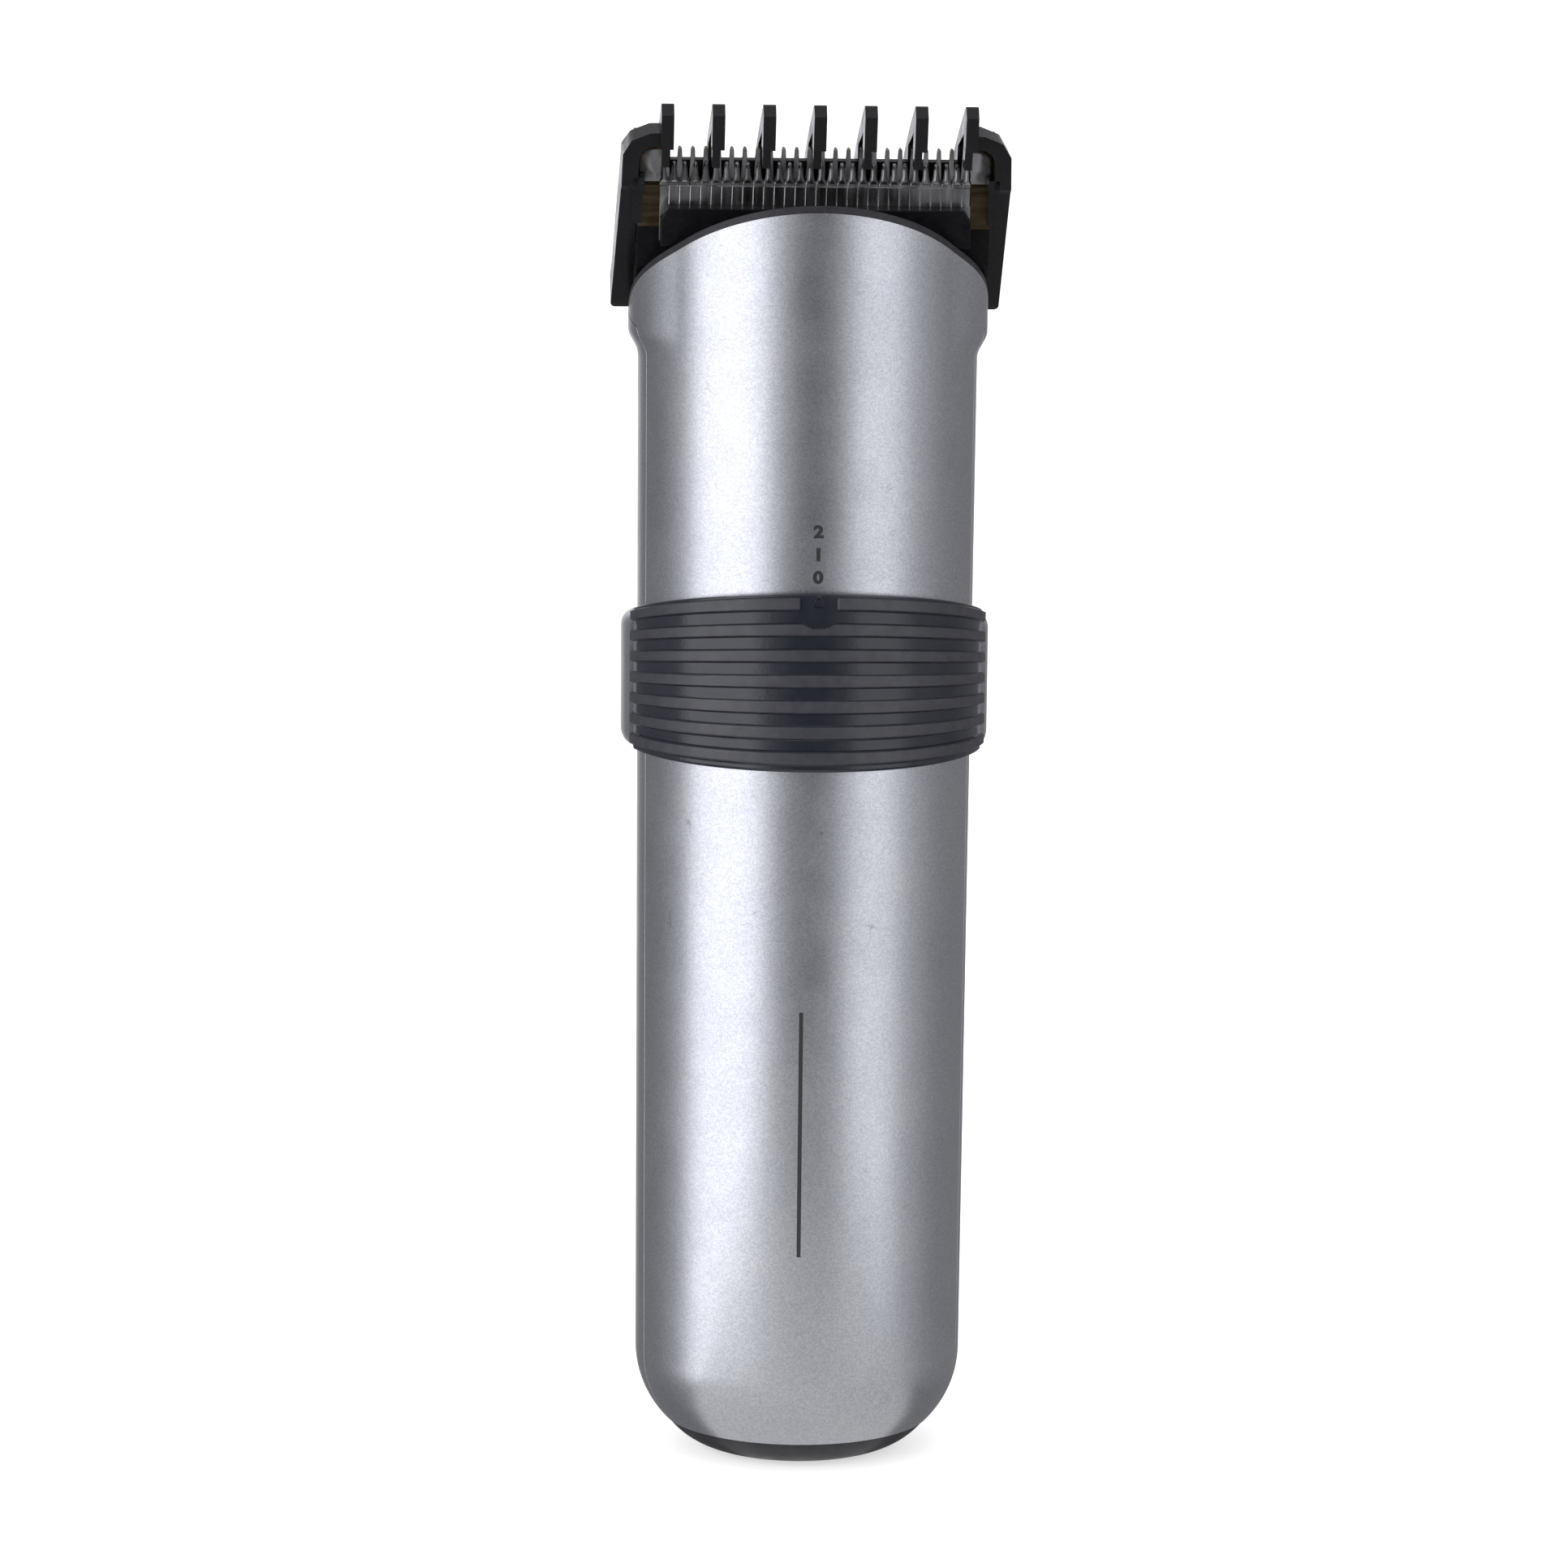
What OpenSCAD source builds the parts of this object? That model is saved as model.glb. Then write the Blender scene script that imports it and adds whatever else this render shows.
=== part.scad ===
// Cordless hair clipper with a slanted snap-on blade head, a sliding switch ring and a guide comb.
// Z runs up the handle, the origin is the middle of the flat base, and the front faces -Y.

/* [Handle] */
// Outer radius of the handle just above the base rounding
grip_r_low = 20.9; // [20:0.1:21.2]
// Outer radius of the handle below the head
grip_r_high = 21.35; // [21:0.05:21.6]
// Wall thickness of the two shells
wall = 1.6; // [1.2:0.1:1.9]
// Radius of the rounding at the bottom edge
base_round = 13; // [10:0.5:14]
// Height where the silver shells end and the base cap begins
cap_h = 3.9; // [3:0.1:5]
// Distance of the parting plane in front of the axis
parting = 5.9; // [2:0.1:8]
// How far each shoulder stands out sideways under the head
shoulder = 1.25; // [0.5:0.05:1.4]

/* [Head opening] */
// Height of the rim where it crosses the axis
rim_z = 147.4; // [146:0.1:149]
// Slope of the rim in degrees, high at the front
rim_slope = 29.2; // [24:0.1:31]
// Thickness of the dark rim seen above the silver edge
rim_t = 1.05; // [0.6:0.05:1.6]

/* [Switch ring] */
// Lower edge of the ring at its sides
ring_z = 91.3; // [88:0.1:93]
// Height of the ring at its sides
ring_h = 16.5; // [14:0.1:18]
// Height of the ring at its front
ring_front_h = 22.3; // [18:0.1:24]
// Inner radius of the ring
ring_ri = 21.75; // [21.7:0.05:21.9]
// Outer radius of the ring at the bottom of its grooves
ring_groove_r = 22.8; // [22.6:0.05:23]
// Outer radius of the ring on its ribs
ring_rib_r = 23.3; // [23.1:0.05:23.6]
// Number of grip ribs
ring_ribs = 7; // [5:1:8]
// Travel of the ring from 0 to 2
ring_travel = 5.6; // [4:0.1:6]

/* [Head] */
// Forward lean of the blades in degrees
head_lean = 14; // [10:0.5:16]
// Half width of the fixed blade and of its carrier
head_hw = 21.9; // [21:0.1:22]
// Thickness of the fixed blade
fixed_t = 1.4; // [1:0.1:1.6]
// Thickness of the moving blade
moving_t = 1.1; // [0.8:0.05:1.2]
// Half width of the moving blade
moving_hw = 19.25; // [18:0.05:19.3]
// Spacing of the fixed teeth
fixed_pitch = 1.6; // [1.4:0.05:1.8]
// Spacing of the moving teeth
moving_pitch = 1.295; // [1.1:0.005:1.4]
// Stroke of the moving blade to each side
stroke = 1.1; // [0.8:0.05:1.1]

/* [Guide comb] */
// Spacing of the comb fins
fin_pitch = 6.2; // [6:0.05:6.3]
// Thickness of a fin
fin_t = 1.55; // [1.2:0.05:1.8]
// Outer half width of the comb at its feet
comb_hw = 24.7; // [24.4:0.1:25]

/* [Power unit] */
// Radius of the motor
motor_r = 12; // [10:0.5:12]
// Radius of one battery cell
cell_r = 7; // [5.2:0.1:7.1]
// Length of one battery cell
cell_h = 48; // [44:0.5:49]

/* [Hidden] */
$fn = 96;
slack = 0.2;
inner_r = grip_r_low - wall;
taper = (grip_r_high - grip_r_low) / 120;
round_x = grip_r_low - base_round;
rim_k = tan(rim_slope);
flat_r = 9.5;
shoulder_z = 140;
shoulder_full_z = 144.5;
wing_z = 143.8;
wing_rise = 0.31;
deck_drop = 1.3;
deck_t = 1.6;
deck_r = inner_r - 0.05;

head_y = -6;
head_z = 147.2;
blade_low = 9.5;
teeth_top = 19.56;
tooth_root = 15.2;
moving_top = 17.75;
moving_root = 15.6;
moving_low = 8;
blade_gap = 0.05;
guide_top = 12.6;
guide_low = 6.2;
guide_t = 2.25;
groove_low = 12.75;
blade_screw_z = 10.8;
spring_x = 12;
spring_screw_z = 4.6;
spring_back = -3.55;
spring_t = 0.35;

motor_z = 96;
motor_h = 30;
shaft_r = 1;
cam_z = 131.5;
cam_h = 5.5;
pin_r = 0.8;
pin_top = 143.8;
fork_gap = pin_r + 2 * stroke + 0.1;

cell_z = 16;
cell_y = 1.5;
board_y = 13;
board_t = 1.2;
tab_z = 97.35;
tab_h = 4.4;
knob_z = 98.3;
knob_h = 2.4;
shell_screw_x = 15;
shell_screw_seat = 11.9;
shell_screw_z = 99.4;
cap_screw_x = 8.3;
boss_z = cap_h + 2.45;
jack_r = 4.2;
jack_bore_r = 2.85;
jack_low = 0.25;
jack_len = 5;
rib_first = 0.082;
rib_pitch = 0.143;
rib_half = 0.035;
comb_gap = 0.2;
comb_in = head_hw + comb_gap;

// ---- helpers ----

// Draws its child, made along the head's own axes, where the leaning head sits.
module in_head() {
    translate([0, head_y, head_z]) rotate([head_lean, 0, 0]) children();
}

// Extrudes a (y, z) outline sideways, to w/2 on each side of the middle plane.
module side_extrude(w) {
    rotate([90, 0, 90]) linear_extrude(w, center = true) children();
}

// Extrudes an (x, z) outline from depth y0 to depth y1.
module face_extrude(y0, y1) {
    translate([0, y1, 0]) rotate([90, 0, 0]) linear_extrude(y1 - y0) children();
}

module box(x0, x1, y0, y1, z0, z1) {
    translate([x0, y0, z0]) cube([x1 - x0, y1 - y0, z1 - z0]);
}

module rod(r, z0, z1) {
    translate([0, 0, z0]) cylinder(r = r, h = z1 - z0);
}

// A rod along Y from y0 to y1.
module rod_y(r, x, z, y0, y1) {
    translate([x, y1, z]) rotate([90, 0, 0]) cylinder(r = r, h = y1 - y0);
}

module both_sides() {
    children();
    mirror([1, 0, 0]) children();
}

// The half-space under the rim plane, lowered by drop.
module under_rim(drop) {
    side_extrude(60) polygon([
        [-30, 0], [-30, rim_z - drop + 30 * rim_k],
        [30, rim_z - drop - 30 * rim_k], [30, 0]]);
}

// ---- handle ----

// Half outline of the handle: rounded bottom corner, then a very slight flare upwards.
module handle_outline() {
    difference() {
        union() {
            square([round_x, base_round]);
            translate([round_x, base_round]) circle(r = base_round);
            polygon([[0, base_round], [grip_r_low, base_round],
                [grip_r_low + taper * 120, base_round + 120],
                [grip_r_low + taper * 150, base_round + 150], [0, base_round + 150]]);
        }
        translate([-40, -1]) square([40, 200]);
        translate([-1, -1]) square([40, cap_h + 1]);
    }
}

// Side shoulders: the section widens sideways, first leaning out and then straight up.
module shoulders() {
    lean = atan(shoulder / (shoulder_full_z - shoulder_z));
    r = grip_r_high - 0.02;
    for (s = [-1, 1]) {
        translate([s * shoulder, 0, shoulder_full_z]) cylinder(r = r, h = 22);
        intersection() {
            translate([0, 0, shoulder_z]) rotate([0, s * lean, 0]) translate([0, 0, -8])
                cylinder(r = r - 0.3, h = 24);
            box(-30, 30, -30, 30, shoulder_z, shoulder_full_z);
        }
    }
    box(-shoulder, shoulder, -r, r, shoulder_full_z, shoulder_full_z + 22);
}

module handle_solid() {
    rotate_extrude() handle_outline();
    shoulders();
}

// Inside of the handle: a plain tube that narrows in the bottom rounding.
module handle_hollow() {
    rotate_extrude() difference() {
        union() {
            translate([0, -1]) square([round_x, base_round + 1]);
            translate([round_x, base_round]) circle(r = base_round - wall);
            translate([0, base_round]) square([inner_r, 160]);
        }
        translate([-40, -2]) square([40, 200]);
        translate([-1, -2]) square([40, cap_h + 1.99]);
    }
}

module shells() {
    difference() {
        intersection() {
            handle_solid();
            under_rim(rim_t);
        }
        handle_hollow();
    }
}

// Everything in front of the parting surface, which steps back just under the rim.
module front_half() {
    side_extrude(60) polygon([[-30, 0], [-parting, 0], [-parting, wing_z],
        [30, wing_z + (30 + parting) * wing_rise], [30, 180], [-30, 180]]);
}

module front_shell() {
    color([0.66, 0.68, 0.72]) {
        intersection() {
            shells();
            front_half();
        }
        for (s = [-1, 1])
            difference() {
                intersection() {
                    rod_y(2.6, s * shell_screw_x, shell_screw_z, -13, -parting);
                    rod(inner_r + 0.5, 80, 120);
                }
                rod_y(0.8, s * shell_screw_x, shell_screw_z, -12, 0);
            }
    }
}

module rear_shell() {
    color([0.66, 0.68, 0.72]) {
        difference() {
            shells();
            front_half();
            // slot for the tab that joins the ring to the switch
            box(-2.8, 2.8, 10, 30, tab_z - 0.3, tab_z + tab_h + ring_travel + 0.3);
            for (s = [-1, 1]) {
                rod_y(1.1, s * shell_screw_x, shell_screw_z, 0, 30);
                rod_y(2.1, s * shell_screw_x, shell_screw_z, shell_screw_seat, 30);
            }
        }
        for (s = [-1, 1])
            difference() {
                intersection() {
                    rod_y(2.6, s * shell_screw_x, shell_screw_z, -parting, shell_screw_seat);
                    rod(inner_r + 0.5, 80, 120);
                }
                rod_y(1.1, s * shell_screw_x, shell_screw_z, -10, 30);
            }
        // bosses that the base cap is screwed to, each on a rib from the wall
        both_sides() difference() {
            union() {
                translate([cap_screw_x, 0, 0]) rod(2.4, boss_z, 12);
                intersection() {
                    box(cap_screw_x, 20, -1, 1, boss_z, 12);
                    rotate_extrude() handle_outline();
                }
            }
            translate([cap_screw_x, 0, 0]) rod(1.1, 0, 9.5);
        }
    }
}

// Dark ring that edges the slanted opening, with a deck that closes it around the head's neck.
module head_bezel() {
    color([0.2, 0.2, 0.22]) difference() {
        union() {
            difference() {
                intersection() {
                    handle_solid();
                    under_rim(0);
                }
                under_rim(rim_t);
            }
            difference() {
                intersection() {
                    rod(deck_r, 120, 170);
                    under_rim(deck_drop - 0.4);
                }
                under_rim(deck_drop + deck_t + 3);
            }
        }
        // well in the collar, above and below the deck
        intersection() {
            rod(inner_r - 1.2, 120, 175);
            union() {
                difference() {
                    box(-30, 30, -30, 30, 120, 175);
                    under_rim(deck_drop);
                }
                under_rim(deck_drop + deck_t);
            }
        }
        // opening for the head's neck and the drive fork
        in_head() box(-15.6, 15.6, -4.4, 9.2, -40, 30);
    }
}

// Base cap with a flat foot, screw recesses and the hole of the charging jack.
module base_cap() {
    cap_r = 17;
    edge_r = ((cap_r - flat_r) * (cap_r - flat_r) + cap_h * cap_h) / (2 * cap_h);
    color([0.2, 0.2, 0.23]) difference() {
        union() {
            rotate_extrude() intersection() {
                union() {
                    square([flat_r, 5]);
                    translate([flat_r, edge_r]) circle(r = edge_r);
                }
                square([cap_r, cap_h]);
            }
            rod(13.6, cap_h, cap_h + 2.4);
        }
        rod(12, cap_h - 1.2, cap_h + 3);
        rod(jack_r + 0.05, -1, 10);
        for (s = [-1, 1]) translate([s * cap_screw_x, 0, 0]) {
            rod(1.3, -1, 10);
            rod(2.1, -1, 1.3);
        }
    }
}

module cap_screws() {
    color("silver") for (s = [-1, 1]) translate([s * cap_screw_x, 0, 0]) difference() {
        union() {
            rod(1.9, 0.3, 1.3);
            rod(1.1, 1.3, 9.5);
        }
        for (a = [0, 90]) rotate([0, 0, a]) box(-1.1, 1.1, -0.2, 0.2, 0, 0.8);
    }
}

module shell_screws() {
    color("silver") for (s = [-1, 1]) {
        rod_y(1.0, s * shell_screw_x, shell_screw_z, 0, shell_screw_seat);
        rod_y(0.8, s * shell_screw_x, shell_screw_z, -11, 0);
        rod_y(1.9, s * shell_screw_x, shell_screw_z, shell_screw_seat, shell_screw_seat + 1);
    }
}

// ---- power unit ----

module dc_jack() {
    color([0.08, 0.08, 0.09]) difference() {
        union() {
            rod(jack_r, jack_low, 12.5);
            rod(6, 2.7, 3.6);
        }
        rod(jack_bore_r, -1, jack_low + jack_len);
        rod(1.9, 2, 10.5);
        rod(1, 2, 20);
    }
}

module jack_pin() {
    color([0.8, 0.76, 0.6]) {
        rod(1, jack_low + jack_len + 0.4, 12.5);
        rod(1.8, 12.5, 13.1);
        box(-0.4, 0.4, 0.6, 1.6, 13.1, 15.2);
    }
}

module circuit_board() {
    color([0.1, 0.4, 0.2]) difference() {
        box(-9, 9, board_y, board_y + board_t, 68, 121);
        for (s = [-1, 1]) rod_y(0.6, s * 7.5, 119, 0, 30);
    }
}

// Charging components on the board: a smoothing capacitor, a diode and three resistors.
module charge_parts() {
    y = board_y + board_t;
    color([0.15, 0.15, 0.3]) rod_y(2.6, 3.6, 73, y, y + 3.4);
    color([0.1, 0.1, 0.1]) translate([-5.2, y + 1.3, 70.5]) cylinder(r = 1.3, h = 5);
    color([0.75, 0.65, 0.45]) for (i = [0:2])
        translate([-5.5 + i * 3.4, y + 0.9, 80]) cylinder(r = 0.9, h = 6);
}

module battery_cells() {
    color([0.2, 0.45, 0.3]) for (s = [-1, 1]) translate([s * (cell_r + 0.15), cell_y, 0]) {
        rod(cell_r, cell_z, cell_z + cell_h);
        rod(2.7, s > 0 ? cell_z + cell_h : cell_z - 1, s > 0 ? cell_z + cell_h + 1 : cell_z);
    }
}

module battery_straps() {
    top = cell_z + cell_h + 1;
    x = cell_r + 0.15;
    color([0.8, 0.8, 0.8]) {
        box(-x - 3, x + 3, cell_y - 2, cell_y + 2, top, top + 0.3);
        translate([-x, cell_y, 0]) rod(2.4, top - 1, top);
        for (s = [-1, 1])
            box(s * x - 3, s * x + 3, cell_y - 2, cell_y + 2, cell_z - 1.3, cell_z - 1);
        translate([x, cell_y, 0]) rod(2.4, cell_z - 1, cell_z);
    }
}

// Two insulated leads from the lower cell tabs up to the circuit board.
module battery_leads() {
    color([0.7, 0.1, 0.1]) for (s = [-1, 1]) {
        translate([s * (cell_r + 0.15), cell_y + 9.4, 0]) rod(0.7, cell_z - 1.7, 69.5);
        box(s * (cell_r + 0.15) - 0.5, s * (cell_r + 0.15) + 0.5, cell_y - 1, cell_y + 9.4,
            cell_z - 2.3, cell_z - 1.3);
        box(s * (cell_r + 0.15) - 0.5, s * (cell_r + 0.15) + 0.5, cell_y + 9.4, board_y,
            68.8, 69.8);
    }
}

module motor_can() {
    color([0.7, 0.7, 0.72]) difference() {
        union() {
            rod(motor_r, motor_z, motor_z + motor_h);
            rod(3.9, motor_z + motor_h, motor_z + motor_h + 1.6);
        }
        rod(shaft_r + 0.06, 0, 200);
        rod(2.6, motor_z - 1, motor_z + 1);
        for (s = [-1, 1]) translate([s * 8, 0, motor_z + motor_h - 2.4]) rod(0.95, 0, 5);
    }
}

module motor_end_bell() {
    color([0.9, 0.9, 0.86]) difference() {
        union() {
            rod(motor_r - 0.7, motor_z - 2.6, motor_z);
            rod(2.6, motor_z - 4, motor_z + 1);
        }
        rod(shaft_r + 0.06, 0, 200);
    }
    color([0.8, 0.65, 0.3]) for (s = [-1, 1])
        box(s * 6 - 0.9, s * 6 + 0.9, 1.8, 2.2, motor_z - 5.6, motor_z - 2.6);
}

module motor_leads() {
    color([0.1, 0.1, 0.1]) for (s = [-1, 1]) {
        translate([s * 6, 3, 0]) rod(0.6, motor_z - 8.5, motor_z - 3.2);
        box(s * 6 - 0.5, s * 6 + 0.5, 2.5, board_y, motor_z - 9.5, motor_z - 8.5);
    }
}

// Plastic plate across the handle that the motor is screwed to.
module motor_mount() {
    z0 = motor_z + motor_h;
    color([0.25, 0.25, 0.27]) difference() {
        union() {
            rod(inner_r - 0.05, z0, z0 + 2.2);
            difference() {
                rod(14, z0 - 9, z0);
                rod(motor_r + 0.05, z0 - 10, z0 + 1);
            }
        }
        rod(3.95, 0, 200);
        box(-20, 20, board_y - 0.4, 30, z0 - 10, z0 + 4);
        for (s = [-1, 1]) translate([s * 8, 0, 0]) rod(1.2, z0 - 1, z0 + 4);
    }
}

module motor_screws() {
    z0 = motor_z + motor_h;
    color("silver") for (s = [-1, 1]) translate([s * 8, 0, 0]) difference() {
        union() {
            rod(0.9, z0 - 2.2, z0 + 2.2);
            rod(1.8, z0 + 2.2, z0 + 3.3);
        }
        for (a = [0, 90]) rotate([0, 0, a]) box(-1, 1, -0.18, 0.18, z0 + 2.8, z0 + 4);
    }
}

module motor_shaft() {
    color([0.8, 0.8, 0.82]) rod(shaft_r, motor_z - 3.6, cam_z + 4);
}

module eccentric_cam() {
    color([0.92, 0.92, 0.9]) difference() {
        union() {
            rod(3.6, cam_z, cam_z + cam_h);
            translate([stroke, 0, 0]) rod(1.8, cam_z + cam_h, cam_z + cam_h + 1.2);
        }
        rod(shaft_r, 0, cam_z + 4);
        translate([stroke, 0, 0]) rod(pin_r, cam_z + 4.4, 200);
    }
}

module cam_pin() {
    color([0.8, 0.8, 0.82]) translate([stroke, 0, 0]) rod(pin_r, cam_z + 4.4, pin_top);
}

// ---- switch and its ring ----

module switch_body() {
    y = board_y + board_t;
    color([0.12, 0.12, 0.13]) difference() {
        box(-4.5, 4.5, y, y + 2.6, 90.5, 109);
        box(-1.7, 1.7, y + 1.2, y + 3, knob_z - 0.4, knob_z + knob_h + ring_travel + 0.4);
    }
}

module switch_knob() {
    y = board_y + board_t + 1.25;
    color([0.85, 0.85, 0.83]) box(-1.5, 1.5, y, y + 3.6, knob_z, knob_z + knob_h);
}

// Heights on the ring at share t of its height: at the side, at the front and at depth y.
function ring_side(t) = ring_z + ring_h * t;
function ring_front(t) = ring_z - 1.2 + ring_front_h * t;
function ring_at(t, y) = ring_side(t) + (ring_front(t) - ring_side(t)) * y / -23.5;

// Band of the ring between shares t0 and t1, from the parting plane to the front.
module ring_band(t0, t1) {
    y0 = -parting - 0.4;
    y1 = -26;
    side_extrude(60) polygon([
        [y0, ring_at(t0, y0)], [y1, ring_at(t0, y1)],
        [y1, ring_at(t1, y1)], [y0, ring_at(t1, y0)]]);
}

module tube(ri, ro, z0, z1) {
    difference() {
        rod(ro, z0, z1);
        rod(ri, z0 - 1, z1 + 1);
    }
}

// Grip rib k, counted from the bottom.
module grip_rib(k) {
    t = rib_first + rib_pitch * k * 6 / (ring_ribs - 1);
    intersection() {
        tube(ring_groove_r - 0.3, ring_rib_r, 80, 125);
        ring_band(t - rib_half, t + rib_half);
    }
}

// Dark grip with ribs that fan out to the front, an engraved pointer and a thumb notch.
module ring_grip() {
    notch_r = 3.5;
    notch_low = ring_front(rib_first + 5 * rib_pitch + rib_half) - 0.75;
    pointer_low = ring_front(0.9225);
    color([0.19, 0.2, 0.23]) difference() {
        union() {
            intersection() {
                tube(ring_ri, ring_groove_r, 80, 125);
                ring_band(0, 1);
            }
            difference() {
                for (k = [0:ring_ribs - 2]) grip_rib(k);
                rod_y(notch_r, 0, notch_low + notch_r, -30, -10);
            }
            // the top rib has a gap around the pointer
            difference() {
                grip_rib(ring_ribs - 1);
                box(-2.3, 2.3, -30, -10, 80, 125);
            }
        }
        face_extrude(-30, 0.25 - ring_groove_r)
            polygon([[-0.65, pointer_low], [0.65, pointer_low], [0, pointer_low + 1.3]]);
    }
}

module ring_back() {
    color([0.66, 0.68, 0.72]) intersection() {
        tube(ring_ri, ring_rib_r, ring_z, ring_z + ring_h);
        box(-30, 30, -parting - 0.4, 30, 0, 200);
    }
}

// Tab that passes through the slot in the rear shell and holds the switch knob.
module ring_tab() {
    color([0.19, 0.2, 0.23]) difference() {
        intersection() {
            box(-2.5, 2.5, 17.4, 30, tab_z, tab_z + tab_h);
            rod(ring_ri, 80, 125);
        }
        box(-1.5, 1.5, 17, board_y + board_t + 4.85, knob_z, knob_z + knob_h);
    }
}

// ---- head ----

// Side outline of the carrier: blade seat in front, sloping roof behind.
module carrier_outline() {
    polygon([[0.2, -10], [0.2, blade_low], [fixed_t, blade_low], [fixed_t, 13], [2.6, 13],
        [16.7, 0.8], [23.4, -9.6], [23.7, -30]]);
}

// Plan outline of the carrier: straight sides in front, following the rim at the back.
module carrier_plan(inset) {
    hull() {
        rod(grip_r_high - inset, 130, 175);
        box(inset - head_hw, head_hw - inset, -30, 4, 130, 175);
    }
}

module head_carrier() {
    color([0.08, 0.08, 0.085]) difference() {
        union() {
            difference() {
                intersection() {
                    in_head() side_extrude(2 * head_hw) carrier_outline();
                    carrier_plan(0);
                }
                intersection() {
                    in_head() side_extrude(2 * head_hw) polygon([[1.9, -40], [1.9, 7.2],
                        [5, 7.2], [14.9, -1.3], [21.2, -10.6], [21.5, -40]]);
                    carrier_plan(2);
                }
                under_rim(-0.25);
            }
            // neck that plugs into the handle
            in_head() both_sides() box(9, 15, 1.9, 6, -9, 8);
            // arms that hold the pressure spring in front of the guide
            in_head() both_sides()
                box(spring_x - 1.5, spring_x + 1.5, spring_back, 2.2, 3.4, 5.9);
        }
        in_head() {
            for (s = [-1, 1]) {
                rod_y(1.0, s * 12, blade_screw_z, 0, 20);
                rod_y(1.85, s * 12, blade_screw_z, 2.3, 20);
                rod_y(0.55, s * spring_x, spring_screw_z, -4, -1.5);
            }
        }
    }
}

// One fixed tooth, wide at its root and rounded at its tip, in the (x, z) plane.
module tooth_outline(root_z, top_z, root_hw, tip_hw) {
    polygon([[-root_hw, root_z], [root_hw, root_z], [root_hw, root_z + 1.2],
        [tip_hw, top_z - 0.3], [0.45 * tip_hw, top_z], [-0.45 * tip_hw, top_z],
        [-tip_hw, top_z - 0.3], [-root_hw, root_z + 1.2]]);
}

module fixed_blade() {
    ear_in = 18.95;
    color([0.5, 0.48, 0.44]) in_head() difference() {
        face_extrude(0, fixed_t) {
            translate([-head_hw, blade_low]) square([2 * head_hw, tooth_root - blade_low + slack]);
            for (i = [-12:11]) translate([(i + 0.5) * fixed_pitch, 0])
                tooth_outline(tooth_root, teeth_top, 0.42, 0.26);
            both_sides() {
                polygon([[ear_in, tooth_root], [head_hw, tooth_root], [head_hw, 17.95],
                    [head_hw - 0.2, 18.75], [head_hw - 0.7, 19.25], [head_hw - 1.4, 19.45],
                    [ear_in + 0.4, 19.45], [ear_in, 19.1]]);
            }
        }
        for (s = [-1, 1]) rod_y(0.9, s * 12, blade_screw_z, 0.4, 5);
    }
}

module blade_screws() {
    color("silver") in_head() for (s = [-1, 1]) difference() {
        union() {
            rod_y(0.9, s * 12, blade_screw_z, 0.4, 2.3);
            rod_y(1.7, s * 12, blade_screw_z, 2.3, 3.1);
        }
        box(s * 12 - 1.2, s * 12 + 1.2, 2.7, 5, blade_screw_z - 0.2, blade_screw_z + 0.2);
    }
}

// Flat spring with two wide ends, in front of the guide.
module pressure_spring() {
    end = spring_x + 1.5;
    color([0.75, 0.76, 0.78]) in_head() difference() {
        face_extrude(spring_back - spring_t, spring_back) polygon([[-end, 3.4], [3 - end, 3.4],
            [4 - end, 5.6], [end - 4, 5.6], [end - 3, 3.4], [end, 3.4], [end, 7.4], [-end, 7.4]]);
        for (s = [-1, 1]) rod_y(0.55, s * spring_x, spring_screw_z, -5, 0);
    }
}

module spring_screws() {
    front = spring_back - spring_t;
    color("silver") in_head() for (s = [-1, 1]) {
        rod_y(0.55, s * spring_x, spring_screw_z, front, -1.5);
        rod_y(0.85, s * spring_x, spring_screw_z, front - 0.4, front);
    }
}

module moving_blade() {
    front = -blade_gap - moving_t;
    n = 30;
    color([0.62, 0.63, 0.65]) in_head() difference() {
        face_extrude(front, -blade_gap) {
            translate([-moving_hw, moving_low])
                square([2 * moving_hw, moving_root - moving_low + slack]);
            for (i = [0:n - 1]) translate([(i - (n - 1) / 2) * moving_pitch, 0])
                tooth_outline(moving_root, moving_top, 0.5, 0.22);
        }
        // ground lines that continue the tooth gaps down the plate
        for (i = [0:n - 2])
            box((i - (n - 2) / 2) * moving_pitch - 0.07, (i - (n - 2) / 2) * moving_pitch + 0.07,
                front - 1, front + 0.12, groove_low, moving_root + 1);
        // bevel of the tooth tips
        side_extrude(60) polygon([[front - 0.1, 16.2], [front + 0.75, moving_top + 0.1],
            [front - 0.1, moving_top + 0.1]]);
    }
}

// Plastic guide on the moving blade, with an arm and a fork that straddles the cam pin.
module drive_fork() {
    back = -blade_gap - moving_t;
    front = back - guide_t + 0.1;
    hw = moving_hw - 0.1;
    color([0.07, 0.07, 0.075]) in_head() {
        face_extrude(front, back) polygon([[-hw, 7.8], [-14.4, 7.8], [-13.8, guide_low],
            [13.8, guide_low], [14.4, 7.8], [hw, 7.8], [hw, guide_top - 1.4],
            [hw - 0.85, guide_top], [0.85 - hw, guide_top], [-hw, guide_top - 1.4]]);
        box(-fork_gap - 2.4, fork_gap + 2.4, front, front + 1.5, -7.5, guide_low + 1);
        both_sides() box(fork_gap, fork_gap + 2.4, front + 1.4, 7.2, -7.5, -4.4);
    }
}

// ---- guide comb ----

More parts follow.
